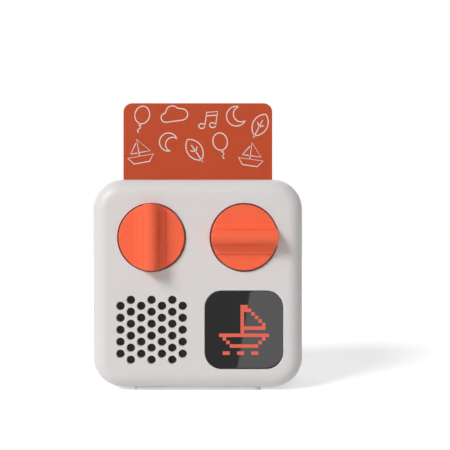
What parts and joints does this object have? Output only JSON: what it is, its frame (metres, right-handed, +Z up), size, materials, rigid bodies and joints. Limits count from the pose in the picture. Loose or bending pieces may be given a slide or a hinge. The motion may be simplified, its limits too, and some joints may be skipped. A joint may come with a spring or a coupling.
{
  "type": "audio story player",
  "caption": "Small rounded-square audio player with two ridged push-and-turn knobs, a speaker grille, a dot-matrix window and a card standing in a slot in its top.",
  "frame": {"origin": "the base pad's underside, below the middle of the body", "axes": "+X to the right of the front face, +Y from the front to the back, +Z up"},
  "size_m": [0.0706, 0.0408, 0.1],
  "materials": {
    "shell": "fine matte light warm grey",
    "pad_rubber": "matte light grey",
    "knob": "satin orange-red",
    "lens": "glossy smoked black",
    "card": "satin orange-red with a white line print",
    "screw_steel": "zinc plated",
    "shaft_steel": "turned",
    "sheet_metal": "tin plated sheet",
    "dark_plastic": "matte black",
    "mesh": "fine black mesh",
    "foam": "soft dark foam",
    "surround_rubber": "soft black rubber",
    "cone_paper": "dark pressed paper",
    "magnet": "plated",
    "contact_brass": "gold plated",
    "circuit_board": "green solder mask",
    "cell_foil": "matte foil",
    "wire": "insulated wire, one red and one black",
    "socket_plastic": "cream"
  },
  "bodies": {
    "housing": {"front_shell": "shell", "rear_cover": "shell", "base_pad": "pad_rubber", "display_lens": "lens", "cover_screws": "screw_steel", "board_screws": "screw_steel", "left_encoder": "sheet_metal", "right_encoder": "sheet_metal", "speaker_frame": "sheet_metal", "processor_shield": "sheet_metal", "usb_socket": "sheet_metal", "light_grid": "dark_plastic", "display_frame": "dark_plastic", "card_guide": "dark_plastic", "reader_header": "dark_plastic", "headphone_jack": "dark_plastic", "power_switch": "dark_plastic", "grille_mesh": "mesh", "speaker_gasket": "foam", "battery_foam": "foam", "speaker_surround": "surround_rubber", "speaker_magnet": "magnet", "speaker_contacts": "contact_brass", "main_board": "circuit_board", "reader_board": "circuit_board", "led_board": "circuit_board", "battery": "cell_foil", "battery_wires": "wire", "battery_socket": "socket_plastic"},
    "left_press": {"left_plunger": "dark_plastic"},
    "left_turn": {"left_knob": "knob", "left_shaft": "shaft_steel"},
    "right_press": {"right_plunger": "dark_plastic"},
    "right_turn": {"right_knob": "knob", "right_shaft": "shaft_steel"},
    "card": {"card": "card"},
    "power_button": {"power_button": "shell"},
    "speaker_cone": {"speaker_cone": "cone_paper"}
  },
  "joints": [
    {"name": "left_knob_press", "type": "slide", "parent": "housing", "child": "left_press", "axis": [0, 1, 0], "range_m": [0, 0.0006], "stiffness_N_per_m": 2500, "springref_m": -0.0008},
    {"name": "left_knob_turn", "type": "hinge", "parent": "left_press", "child": "left_turn", "pos_m": [-0.0152, -0.0175, 0.05095], "axis": [0, -1, 0], "continuous": true},
    {"name": "right_knob_press", "type": "slide", "parent": "housing", "child": "right_press", "axis": [0, 1, 0], "range_m": [0, 0.0006], "stiffness_N_per_m": 2500, "springref_m": -0.0008},
    {"name": "right_knob_turn", "type": "hinge", "parent": "right_press", "child": "right_turn", "pos_m": [0.0152, -0.0175, 0.05095], "axis": [0, -1, 0], "continuous": true},
    {"name": "card_slide", "type": "slide", "parent": "housing", "child": "card", "axis": [0, 0, 1], "range_m": [0, 0.0565]},
    {"name": "power_press", "type": "slide", "parent": "housing", "child": "power_button", "axis": [-1, 0, 0], "range_m": [0, 0.0005], "stiffness_N_per_m": 2000, "springref_m": -0.0006},
    {"name": "cone_stroke", "type": "slide", "parent": "housing", "child": "speaker_cone", "axis": [0, 1, 0], "range_m": [-0.0004, 0.0004], "stiffness_N_per_m": 500}
  ]
}
